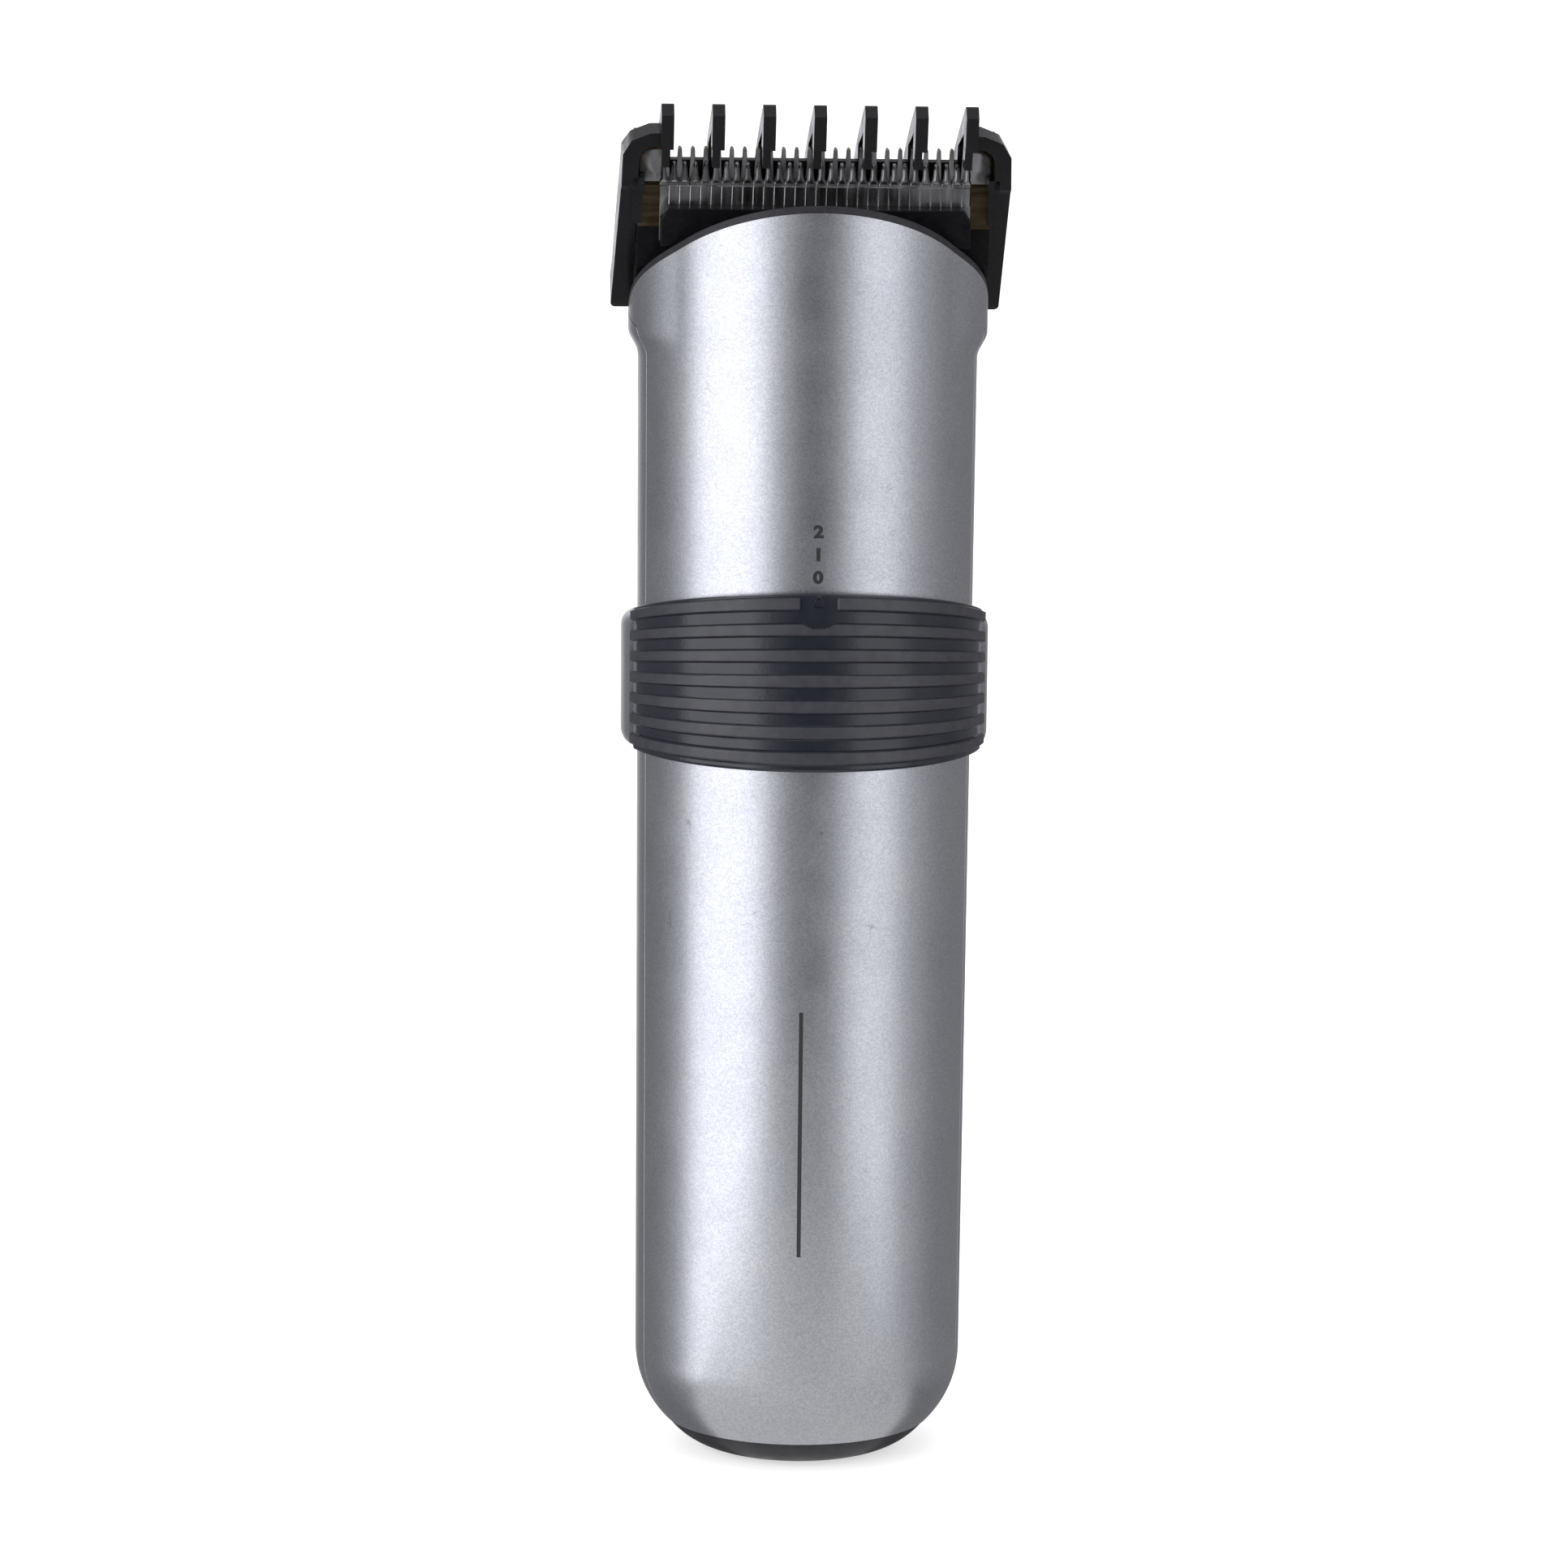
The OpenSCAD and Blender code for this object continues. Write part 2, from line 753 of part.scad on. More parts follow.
// Side outline of one fin: a finger in front of the teeth, an arch over them and a long rear rib.
module fin_outline() {
    polygon([[-5.8, 20.55], [-5.8, 24.8], [-4.75, 25.9], [-4.2, 25.95],
        [-3.6, 25.6], [-2, 24.4], [0, 23.2], [2, 22.1], [4, 20.8], [6.4, 18.9], [8.3, 17.2],
        [10, 15.4], [12.2, 12.4], [13.8, 9.4], [14.6, 6.4], [14.2, 4.9], [13.5, 4.1],
        [3, 13.35], [3, 19.3], [-3.3, 22.4], [-3.3, 20.55]]);
}

// Side outline of the frame: legs that sweep down and back past the shoulders of the handle.
module leg_outline() {
    polygon([[-2.8, 22.5], [-2.8, 15.2], [-1.9, 14.6], [10.3, -3.2], [11, -3.9], [13.6, -0.9],
        [13.9, 0.2], [11.8, 4.2], [9.6, 8.4], [6, 14.2], [4, 18.2], [2.6, 20.8], [2.6, 22.5]]);
}

// Half front outline of the frame: foot, leg, bevelled corner and the bar to the outer fin.
module frame_outline() {
    polygon([[comb_in, -3.9], [comb_hw - 0.3, -3.9], [comb_hw, -3.5], [comb_hw - 0.8, 19.2],
        [comb_hw - 1.85, 20.9], [comb_hw - 2.3, 21.1], [comb_hw - 4.2, 21.85], [15, 21.9],
        [15, 20.2], [comb_in - 1.5, 20.1], [comb_in - 0.7, 19.6], [comb_in - 0.2, 18.6],
        [comb_in, 17.5]]);
}

module guide_comb() {
    outer_fin = 3 * fin_pitch;
    color([0.06, 0.06, 0.065]) in_head() {
        both_sides() intersection() {
            side_extrude(60) leg_outline();
            face_extrude(-10, 20) frame_outline();
            box(outer_fin, 30, -10, 20, -10, 30);
        }
        for (i = [-3:3]) translate([i * fin_pitch, 0, 0]) {
            side_extrude(fin_t) fin_outline();
            box(-0.52, 0.52, -3.9, -1.7, 17.7, 22);
        }
        // sloping plate behind the blade that joins the fins and the legs
        side_extrude(2 * comb_in + 0.6) polygon([[3, 13.35], [13.5, 4.1], [14.3, 5.1],
            [4.4, 14.2], [4.4, 17.2], [3, 17.2]]);
        // webs that close the corners behind the ears of the blade
        both_sides() box(20.2, comb_in + 0.3, 2.2, 3.6, 17, 21);
        // lips that slide in front of the blade edges
        both_sides() {
            box(20.8, comb_in + 0.5, -2.8, -0.4, 14.6, 16.3);
            box(21.4, comb_in + 0.5, -1.9, -0.4, 10.4, 14.7);
        }
    }
}

front_shell();
rear_shell();
head_bezel();
base_cap();
cap_screws();
shell_screws();
dc_jack();
jack_pin();
circuit_board();
charge_parts();
battery_cells();
battery_straps();
battery_leads();
motor_can();
motor_end_bell();
motor_leads();
motor_mount();
motor_screws();
motor_shaft();
eccentric_cam();
cam_pin();
switch_body();
switch_knob();
ring_grip();
ring_back();
ring_tab();
head_carrier();
fixed_blade();
blade_screws();
pressure_spring();
spring_screws();
moving_blade();
drive_fork();
guide_comb();
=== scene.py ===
"""Looks of a cordless hair clipper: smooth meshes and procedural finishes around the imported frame.

Lengths are in millimetres, as in the part's own source, and MM turns them into metres.
Z runs up the handle and the front faces -Y. Head pieces are drawn along the leaning head's
own axes.
"""

import math

import bmesh
import bpy
from mathutils import Matrix, Vector


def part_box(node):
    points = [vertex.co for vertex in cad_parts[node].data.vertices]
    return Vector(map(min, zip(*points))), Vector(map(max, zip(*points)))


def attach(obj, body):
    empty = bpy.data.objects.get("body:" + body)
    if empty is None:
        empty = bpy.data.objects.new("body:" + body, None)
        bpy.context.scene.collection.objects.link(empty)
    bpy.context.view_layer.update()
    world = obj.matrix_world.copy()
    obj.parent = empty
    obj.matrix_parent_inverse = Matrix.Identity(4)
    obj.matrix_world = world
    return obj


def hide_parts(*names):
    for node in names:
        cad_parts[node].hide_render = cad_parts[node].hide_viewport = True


MM = 0.001

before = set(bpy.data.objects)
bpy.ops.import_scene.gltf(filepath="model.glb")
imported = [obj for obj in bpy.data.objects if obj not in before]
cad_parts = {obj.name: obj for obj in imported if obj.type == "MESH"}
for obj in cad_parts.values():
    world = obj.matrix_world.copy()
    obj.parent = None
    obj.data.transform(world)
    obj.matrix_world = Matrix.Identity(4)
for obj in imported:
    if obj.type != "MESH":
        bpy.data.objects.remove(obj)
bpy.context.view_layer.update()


def low(node):
    """Lowest corner of a CAD node in millimetres."""
    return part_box(node)[0] / MM


def high(node):
    """Highest corner of a CAD node in millimetres."""
    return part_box(node)[1] / MM


# ---- handle ----
BASE_ROUND = 13
GRIP_R_LOW = 20.9
FLARE = (21.35 - GRIP_R_LOW) / 120
CAP_H = low("front_shell").z
WALL = 1.6
PARTING = 5.9
SEAM = 0.06
WING_Z = 143.8
WING_RISE = 0.31
SHOULDER = 1.25
RIM_Z = 147.4
RIM_SLOPE = math.tan(math.radians(29.2))
RIM_T = 1.05
COLLAR_R = 18.95
DECK_DROP = 1.3
NECK_X = 15.6
NECK_Y = (-4.4, 9.2)

# ---- switch ring ----
RING_Z = low("ring_back").z
RING_H = high("ring_back").z - RING_Z
RING_FRONT_LOW = RING_Z - 1.2
RING_FRONT_H = 22.3
RING_IN = 21.75
RING_FRONT_Y = -23.5
GROOVE_R = 22.8
RIB_R = 23.3
RIBS = 7
RIB_FIRST = 0.082
RIB_PITCH = 0.143
RIB_HALF = 0.035
POINTER_GAP = 2.3
NOTCH_R = 3.5
NOTCH_Z = RING_FRONT_LOW + RING_FRONT_H * (RIB_FIRST + 5 * RIB_PITCH + RIB_HALF) - 0.75 + NOTCH_R

# ---- head, along its own axes ----
HEAD_Y = -6
HEAD_Z = 147.2
LEAN = math.radians(14)
HEAD_PLACE = Matrix.Translation((0, HEAD_Y, HEAD_Z)) @ Matrix.Rotation(LEAN, 4, "X")
HEAD_HW = 21.9
FIXED_T = 1.4
FIXED_LOW = 9.5
FIXED_ROOT = 15.2
FIXED_TOP = 19.56
FIXED_PITCH = 1.6
FIXED_TEETH = 24
EAR_IN = 18.95
CUTTER_BACK = -0.05
CUTTER_FRONT = -1.15
CUTTER_LOW = 8
CUTTER_TOP = 17.75
CUTTER_PITCH = 1.295
CUTTER_TEETH = 30
CUTTER_HW = 19.25

# ---- guide comb, along the head's axes ----
FIN_PITCH = 6.2
FIN_T = 1.55
FINS = 7
COMB_IN = 22.1
LEG_IN = 21.96
COMB_HW = 24.7


# ---- mesh helpers ----


def grid_between(bm, rows, closed=False):
    """Adds faces between rows of vertices. A closed row joins its last vertex to its first."""
    faces = []
    for lower, upper in zip(rows[:-1], rows[1:]):
        count = len(lower)
        for i in range(count if closed else count - 1):
            j = (i + 1) % count
            faces.append(bm.faces.new((lower[i], lower[j], upper[j], upper[i])))
    return faces


def loft(bm, sections):
    """A closed solid through sections that have the same number of points."""
    rows = [[bm.verts.new(p) for p in section] for section in sections]
    faces = grid_between(bm, rows, closed=True)
    faces.append(bm.faces.new(rows[0][::-1]))
    faces.append(bm.faces.new(rows[-1]))
    return faces


def wall(bm, point, columns, rows):
    """A closed wall: point(column, row, inside) gives its outer and its inner surface."""
    outer = [[bm.verts.new(point(c, r, False)) for c in columns] for r in rows]
    inner = [[bm.verts.new(point(c, r, True)) for c in columns] for r in rows]
    faces = grid_between(bm, outer)
    grid_between(bm, inner)
    for a, b in ((outer[0], inner[0]), (outer[-1], inner[-1])):
        grid_between(bm, [a, b])
    for end in (0, -1):
        grid_between(bm, [[row[end] for row in outer], [row[end] for row in inner]])
    return faces


def side_prism(bm, outline, x0, x1):
    """A solid from x0 to x1 over a (y, z) outline."""
    return loft(bm, [[(x, y, z) for y, z in outline] for x in (x0, x1)])


def block(bm, x, y, z):
    """A box solid between three pairs of limits."""
    return side_prism(bm, [(y[0], z[0]), (y[1], z[0]), (y[1], z[1]), (y[0], z[1])], x[0], x[1])


def bezier(p0, p1, p2, p3, steps):
    """Points along a cubic curve, without its last point."""
    points = []
    for i in range(steps):
        t = i / steps
        k = ((1 - t) ** 3, 3 * t * (1 - t) ** 2, 3 * t * t * (1 - t), t**3)
        points.append(tuple(sum(w * p[a] for w, p in zip(k, (p0, p1, p2, p3))) for a in (0, 1)))
    return points


def spread(start, end, steps):
    """Even values from start to end, both included."""
    return [start + (end - start) * i / steps for i in range(steps + 1)]


def smoothstep(low_end, high_end, value):
    """0 below low_end, 1 above high_end and smooth between."""
    t = min(max((value - low_end) / (high_end - low_end), 0), 1)
    return t * t * (3 - 2 * t)


def along(points, value):
    """Straight-line value of a function given as (position, value) points in order."""
    for (a, u), (b, v) in zip(points[:-1], points[1:]):
        if value <= b:
            return u if a == b else u + (v - u) * max(0, (value - a) / (b - a))
    return points[-1][1]


def new_piece(name, bm, body, materials, replaced=(), place=None, bevel=None):
    """Turns a bmesh in millimetres into a piece that rides on a body."""
    if place is not None:
        bmesh.ops.transform(bm, matrix=place, verts=bm.verts)
    bmesh.ops.scale(bm, vec=(MM, MM, MM), verts=bm.verts)
    bmesh.ops.recalc_face_normals(bm, faces=bm.faces)
    mesh = bpy.data.meshes.new(name)
    bm.to_mesh(mesh)
    bm.free()
    for material in materials:
        mesh.materials.append(material)
    mesh.polygons.foreach_set("use_smooth", [True] * len(mesh.polygons))
    piece = bpy.data.objects.new(name, mesh)
    bpy.context.scene.collection.objects.link(piece)
    if bevel:
        round_edges(piece, bevel)
    else:
        mesh.set_sharp_from_angle(angle=math.radians(40))
    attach(piece, body)
    if replaced:
        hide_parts(*replaced)
    return piece


def round_edges(piece, width):
    """Rounds the sharp edges of a piece by a width in millimetres."""
    bevel = piece.modifiers.new("rounded edges", "BEVEL")
    bevel.width = width * MM
    bevel.segments = 2
    bevel.limit_method = "ANGLE"
    bevel.angle_limit = math.radians(35)
    bevel.harden_normals = True


# ---- shape of the handle ----


def grip_radius(z):
    """Outer radius of the handle at height z, without its shoulders."""
    if z < BASE_ROUND:
        drop = BASE_ROUND - z
        return GRIP_R_LOW - BASE_ROUND + math.sqrt(BASE_ROUND**2 - drop * drop)
    return GRIP_R_LOW + FLARE * (z - BASE_ROUND)


def rim_height(y, drop=0):
    """Height of the slanted rim plane at depth y."""
    return RIM_Z - drop - RIM_SLOPE * y


def sideways(angle):
    """Share of the shoulder's flare at an angle from the front: 1 or -1 at the sides."""
    across = math.sin(angle)
    return math.copysign(smoothstep(0.78, 1.0, abs(across)), across)


def handle_point(angle, z, inset=0):
    """Point on the handle at an angle from the front. The shoulders flare out below the rim."""
    r = grip_radius(z) - inset
    y = -r * math.cos(angle)
    flare = SHOULDER * smoothstep(140.4, 143.6, z)
    return (r * math.sin(angle) + flare * sideways(angle), y, z)


def shell_rows():
    """Heights up the shell: close together on the base rounding and on the shoulders."""
    first = math.acos((BASE_ROUND - CAP_H) / BASE_ROUND)
    rounded = [BASE_ROUND - BASE_ROUND * math.cos(a) for a in spread(first, math.pi / 2, 14)]
    return rounded + spread(BASE_ROUND, 128, 24)[1:] + spread(128, RIM_Z - RIM_T, 40)[1:]


def parting_depth(row):
    """Depth of the parting surface on a row of the shell. It steps back under the rim."""
    share = max(0, (row - BASE_ROUND) / (RIM_Z - RIM_T - BASE_ROUND))
    wing = (row - WING_Z - PARTING * WING_RISE) / (WING_RISE + share * RIM_SLOPE)
    return max(-PARTING, wing)


def shell(name, front, finish):
    """One half of the handle wall, cut by the parting surface and by the rim plane."""
    top = RIM_Z - RIM_T

    def point(column, row, inside):
        edge = SEAM - parting_depth(row) if front else -SEAM - parting_depth(row)
        half = math.acos(edge / grip_radius(row))
        angle = column * half if front else math.pi + column * (math.pi - half)
        end = rim_height(-grip_radius(top) * math.cos(angle), RIM_T)
        z = row if row <= BASE_ROUND else BASE_ROUND + (row - BASE_ROUND) * (
            end - BASE_ROUND) / (top - BASE_ROUND)
        return handle_point(angle, z, WALL if inside else 0)

    bm = bmesh.new()
    wall(bm, point, spread(-1, 1, 96), shell_rows())
    return new_piece(name, bm, "handle", [finish], [name], bevel=0.05)


def head_bezel(finish):
    """Dark rim of the opening: a rounded collar, a deck below it and the hole for the head."""
    profile = [(0.06, RIM_T + 0.4), (0.06, 0.4), (0.1, 0.2), (0.22, 0.06), (0.42, 0)]
    steps = 128
    angles = [2 * math.pi * i / steps for i in range(steps)]
    rows = []
    bm = bmesh.new()
    for inset, drop in profile:
        row = []
        for a in angles:
            edge = rim_height(-grip_radius(RIM_Z) * math.cos(a), RIM_T)
            x, y, _ = handle_point(a, edge, inset)
            row.append(bm.verts.new((x, y, rim_height(y, drop))))
        rows.append(row)
    for extra, drop in ((0.3, 0), (0.1, 0.08), (0, 0.3), (0, DECK_DROP)):
        r = COLLAR_R + extra
        rows.append([
            bm.verts.new((r * math.sin(a), -r * math.cos(a), rim_height(-r * math.cos(a), drop)))
            for a in angles])
    for depth in (0, 2):
        rows.append([bm.verts.new(neck_hole_point(a, depth)) for a in angles])
    grid_between(bm, rows, closed=True)
    return new_piece("head_bezel_rim", bm, "handle", [finish], ["head_bezel"])


def neck_hole_point(angle, depth):
    """Point on the edge of the neck's hole in the deck, at an angle seen from above."""
    middle = (NECK_Y[0] + NECK_Y[1]) / 2
    half = (NECK_Y[1] - NECK_Y[0]) / 2
    across, along_y = math.sin(angle), -math.cos(angle)
    reach = min(NECK_X / max(abs(across), 1e-6), half / max(abs(along_y), 1e-6))
    x, y = across * reach, middle + along_y * reach
    over = rim_height(HEAD_Y, DECK_DROP) - HEAD_Z
    rise = over - y * (RIM_SLOPE * math.cos(LEAN) + math.sin(LEAN))
    z = rise / (math.cos(LEAN) - RIM_SLOPE * math.sin(LEAN))
    return HEAD_PLACE @ Vector((x, y, z - depth))


# ---- switch ring ----


def ring_height(share, y):
    """Height on the ring at a share of its own height. The grip widens towards the front."""
    side = RING_Z + RING_H * share
    front = RING_FRONT_LOW + RING_FRONT_H * share
    return side + (front - side) * y / RING_FRONT_Y


def rib_cover(share, x, z):
    """1 on the ring's ribs and 0 in its grooves, with soft edges between."""
    edge = 0.011
    cover = 0
    for k in range(RIBS):
        away = abs(share - RIB_FIRST - RIB_PITCH * k)
        rib = smoothstep(RIB_HALF + edge / 2, RIB_HALF - edge / 2, away)
        if k == RIBS - 1:
            rib *= smoothstep(POINTER_GAP - 0.08, POINTER_GAP + 0.08, abs(x))
        if k == RIBS - 2:
            rib *= smoothstep(NOTCH_R - 0.1, NOTCH_R + 0.1, math.hypot(x, z - NOTCH_Z))
        cover = max(cover, rib)
    return cover


def pointer_cover(x, z):
    """1 inside the engraved triangle of the pointer and 0 outside it."""
    base = RING_FRONT_LOW + RING_FRONT_H * 0.915
    rise, half = 1.35, 0.68
    height = z - base
    slope = half / rise
    inside = min(height, (half - slope * height - abs(x)) / math.hypot(1, slope))
    return smoothstep(-0.06, 0.1, inside)


def ring_grip(rib_finish, groove_finish):
    """Dark grip of the ring with fanned ribs, the engraved pointer and the notch under it."""
    fine = spread(-12.6, 12.6, 90)
    half = math.degrees(math.acos((PARTING + 0.4) / 23))
    columns = spread(-half, -12.6, 34)[:-1] + fine + spread(12.6, half, 34)[1:]
    rows = spread(0, 1, 160)

    def point(column, row, inside):
        angle = math.radians(column)
        if inside:
            r = RING_IN
        else:
            x = GROOVE_R * math.sin(angle)
            z = ring_height(row, -GROOVE_R * math.cos(angle))
            r = GROOVE_R + (RIB_R - GROOVE_R) * rib_cover(row, x, z)
            if math.cos(angle) > 0.9:
                r -= 0.32 * pointer_cover(x, z)
            edge = min(row, 1 - row) / 0.02
            if edge < 1:
                r -= 0.4 * (1 - math.sqrt(1 - (1 - edge) ** 2))
        y = -r * math.cos(angle)
        return (r * math.sin(angle), y, ring_height(row, y))

    bm = bmesh.new()
    outer = wall(bm, point, columns, rows)
    for face in outer:
        middle = face.calc_center_median()
        radius = math.hypot(middle.x, middle.y)
        face.material_index = int(radius < GROOVE_R + 0.2)
    return new_piece("ring_grip_ribbed", bm, "ring", [rib_finish, groove_finish],
                     ["ring_grip"])


def ring_back(finish):
    """Silver rear of the ring: a rounded band that ends at the grip."""
    z0, z1 = RING_Z, RING_Z + RING_H
    low_r, high_r = 2.0, 1.6
    section = [(RING_IN, z0 + 0.2), (RING_IN + 0.2, z0)]
    bulge = RIB_R - RING_IN - 0.3
    section += [(RIB_R - bulge + bulge * math.sin(a), z0 + low_r - low_r * math.cos(a))
                for a in spread(0, math.pi / 2, 8)]
    section += [(RIB_R - bulge + bulge * math.cos(a), z1 - high_r + high_r * math.sin(a))
                for a in spread(0, math.pi / 2, 8)]
    section += [(RING_IN + 0.2, z1), (RING_IN, z1 - 0.2)]
    sections = []
    for share in spread(-1, 1, 96):
        ring = []
        for r, z in section:
            half = math.acos((PARTING + 0.34) / r)
            a = math.pi + share * (math.pi - half)
            ring.append((r * math.sin(a), -r * math.cos(a), z))
        sections.append(ring)
    bm = bmesh.new()
    loft(bm, sections)
    return new_piece("ring_back_band", bm, "ring", [finish], ["ring_back"])


# ---- blades ----


def fixed_tooth(bm, x):
    """One long tooth: flat in front, bevelled at the sides and the back, rounded at its tip."""
    sections = []
    for z, hw, back in ((FIXED_ROOT - 0.5, 0.46, 1.4), (FIXED_ROOT + 1.2, 0.42, 1.3),
                        (FIXED_ROOT + 2.8, 0.33, 1.1), (FIXED_TOP - 0.35, 0.27, 0.85),
                        (FIXED_TOP - 0.1, 0.22, 0.75), (FIXED_TOP, 0.1, 0.62)):
        front = 0.0 if z < FIXED_TOP - 0.2 else 0.08 + 0.15 * (z - FIXED_TOP + 0.1) / 0.1
        sections.append([(x - hw + 0.06, front, z), (x + hw - 0.06, front, z),
                         (x + hw, front + 0.08, z), (x + hw * 0.55, back, z),
                         (x - hw * 0.55, back, z), (x - hw, front + 0.08, z)])
    return loft(bm, sections)


def ear_outline(inset):
    """Outline of the solid end of the fixed blade, at the right side, drawn in at top and side."""
    side, top = HEAD_HW - inset, FIXED_TOP - 0.1 - inset
    return [(EAR_IN, FIXED_ROOT - 0.5), (side, FIXED_ROOT - 0.5), (side, top - 1.5),
            (side - 0.2, top - 0.7), (side - 0.7, top - 0.2), (side - 1.4, top),
            (EAR_IN + 0.4, top), (EAR_IN, top - 0.35)]


def bevelled_ear(bm, side):
    """Ear with a bevelled edge of worn metal along its top and outside. Returns the bevel."""
    loops = [(ear_outline(0.3), 0), (ear_outline(0), 0.3), (ear_outline(0), FIXED_T)]
    sections = [[(side * x, y, z) for x, z in points] for points, y in loops]
    faces = loft(bm, sections)
    return faces[:len(loops[0][0])]


def fixed_blade(steel, band, edge):
    """Wide blade: a plate with a brushed band, two ears with worn edges, and long teeth."""
    bm = bmesh.new()
    plate = block(bm, (-HEAD_HW, HEAD_HW), (0, FIXED_T), (FIXED_LOW, FIXED_ROOT))
    for face in plate:
        face.material_index = 1
    for side in (-1, 1):
        for face in bevelled_ear(bm, side):
            face.material_index = 2
    for i in range(FIXED_TEETH):
        faces = fixed_tooth(bm, (i - (FIXED_TEETH - 1) / 2) * FIXED_PITCH)
        for face in faces:
            if face.calc_center_median().z > FIXED_TOP - 0.2:
                face.material_index = 2
    return new_piece("fixed_blade_ground", bm, "head", [steel, band, edge],
                     ["fixed_blade"], HEAD_PLACE)


def cutter_strip(bm, x):
    """One pitch of the moving blade: plate, scored lines, step, ridge and tooth in one loft."""
    full = CUTTER_PITCH / 2
    rows = ((CUTTER_LOW, full, full - 0.02, 0, 0), (12.5, full, full - 0.02, 0, 0),
            (12.75, full, full - 0.08, 0, 0.06), (14.9, full, full - 0.08, 0, 0.06),
            (15.0, full, full - 0.08, 0.12, 0.08), (15.3, full, full - 0.1, 0.16, 0.1),
            (15.42, full, full - 0.25, 0.04, 0.22), (15.6, 0.58, 0.24, 0, 0.36),
            (15.85, 0.47, 0.13, 0.02, 0.34), (16.3, 0.38, 0.09, 0.04, 0.3),
            (17.1, 0.31, 0.08, 0.16, 0.24), (17.55, 0.25, 0.07, 0.36, 0.16),
            (CUTTER_TOP, 0.15, 0.05, 0.56, 0.1))
    sections = []
    for z, half, ridge, lean, flank in rows:
        front = CUTTER_FRONT + lean
        side = min(front + flank, CUTTER_BACK - 0.12)
        sections.append([
            (x - half, CUTTER_BACK, z), (x - half, side, z), (x - ridge, front, z),
            (x + ridge, front, z), (x + half, side, z), (x + half, CUTTER_BACK, z)])
    return loft(bm, sections)


def moving_blade(steel):
    """Narrow blade in front: short ridged teeth over a plate scored by the grinding wheel."""
    bm = bmesh.new()
    for i in range(CUTTER_TEETH):
        cutter_strip(bm, (i - (CUTTER_TEETH - 1) / 2) * CUTTER_PITCH)
    for vert in bm.verts:
        outward = abs(vert.co.x)
        if outward > CUTTER_HW + 0.1:
            vert.co.x = math.copysign(CUTTER_HW, vert.co.x)
            if vert.co.y < CUTTER_BACK - 0.2:
                vert.co.y = max(vert.co.y, CUTTER_FRONT + 0.14)
        elif outward > CUTTER_HW - 0.05:
            vert.co.x = math.copysign(CUTTER_HW - 0.16, vert.co.x)
    bmesh.ops.remove_doubles(bm, verts=bm.verts, dist=0.001)
    piece = new_piece("moving_blade_ground", bm, "cutter", [steel],
                      ["moving_blade"], HEAD_PLACE)
    piece.data.set_sharp_from_angle(angle=math.radians(24))
    return piece


# ---- guide comb ----


def fin_outline():
    """Side outline of a fin: a finger with a bevelled top, a curved back and an open arch."""
    top = [(-5.8, 20.55), (-5.8, 24.8), (-4.75, 25.9), (-4.3, 25.95)]
    back = bezier((-3.9, 25.8), (2.6, 21.4), (13.6, 14.4), (14.6, 6.4), 14)
    foot = [(14.6, 6.4), (14.2, 4.9), (13.5, 4.1)]
    arch = [(3, 13.35), (3, 19.3), (-3.3, 22.4), (-3.3, 20.55)]
    return top + back + foot + arch


def comb_leg(bm, side):
    """One side of the comb: a leg swept back past the shoulder, the corner and the bar."""
    front = [(-3.9, 11), (-3.2, 10.3), (14.6, -1.9), (15.2, -2.8), (21.9, -2.8)]
    back = [(-3.9, 13.4), (-3.2, 13.8), (-2, 13.9), (0, 13.6), (4.2, 11.8), (8.4, 9.6),
            (14.2, 6), (18.2, 4), (20.8, 2.6), (21.9, 2.6)]
    outer = [(-3.9, 24.2), (-3.75, 24.5), (-3.4, COMB_HW), (19.2, 23.9), (20.9, 22.85),
             (21.1, 22.4), (21.85, 20.5), (21.9, 18.8)]
    inner = [(-3.9, LEG_IN), (17.5, LEG_IN), (18.6, 21.9), (19.6, 21.4), (20.1, 20.6),
             (20.2, FIN_PITCH * 3), (21.9, FIN_PITCH * 3)]
    rear_rise = [(-3.9, 3.0), (-3.2, 2.7), (-2, 2.0), (0, 0.9), (2, 0.2), (4.2, 0)]
    levels = (-3.9, -3.75, -3.4, -3.2, -2, 0, 2, 4.2, 6, 8.4, 11, 14.2, 14.6, 15.2, 17.5, 18.2,
              18.6, 19.2, 19.6, 20.1, 20.2, 20.9, 21.1, 21.85, 21.9)
    sections = []
    for z in levels:
        x_in, x_out = along(inner, z), along(outer, z)
        y0, y1, rear = along(front, z), along(back, z), z + along(rear_rise, z)
        sections.append([(side * x_in, y0, z), (side * x_out, y0, z), (side * x_out, y1, rear),
                         (side * x_in, y1, rear)])
    return loft(bm, sections)


def guide_comb(finish):
    """Black comb: seven fins with tongues, two legs, the rear plate and lips on the blade."""
    bm = bmesh.new()
    for i in range(FINS):
        x = (i - (FINS - 1) / 2) * FIN_PITCH
        side_prism(bm, fin_outline(), x - FIN_T / 2, x + FIN_T / 2)
        block(bm, (x - 0.6, x + 0.35), (-3.9, -1.7), (17.9, 22))
    for side in (-1, 1):
        comb_leg(bm, side)
        for inside, y, z in ((21.2, -2.8, (14.6, 16.3)), (21.4, -1.9, (10.4, 14.7))):
            block(bm, sorted((side * inside, side * (COMB_IN + 0.5))), (y, -0.4), z)
        block(bm, sorted((side * 20.2, side * (COMB_IN + 0.3))), (2.2, 3.6), (17, 21))
    hw = COMB_IN + 0.3
    side_prism(bm, [(3, 13.35), (13.5, 4.1), (14.3, 5.1), (4.4, 14.2), (4.4, 17.2), (3, 17.2)],
               -hw, hw)
    return new_piece("guide_comb_moulded", bm, "comb", [finish], ["guide_comb"],
                     HEAD_PLACE, bevel=0.14)


# ---- printing ----


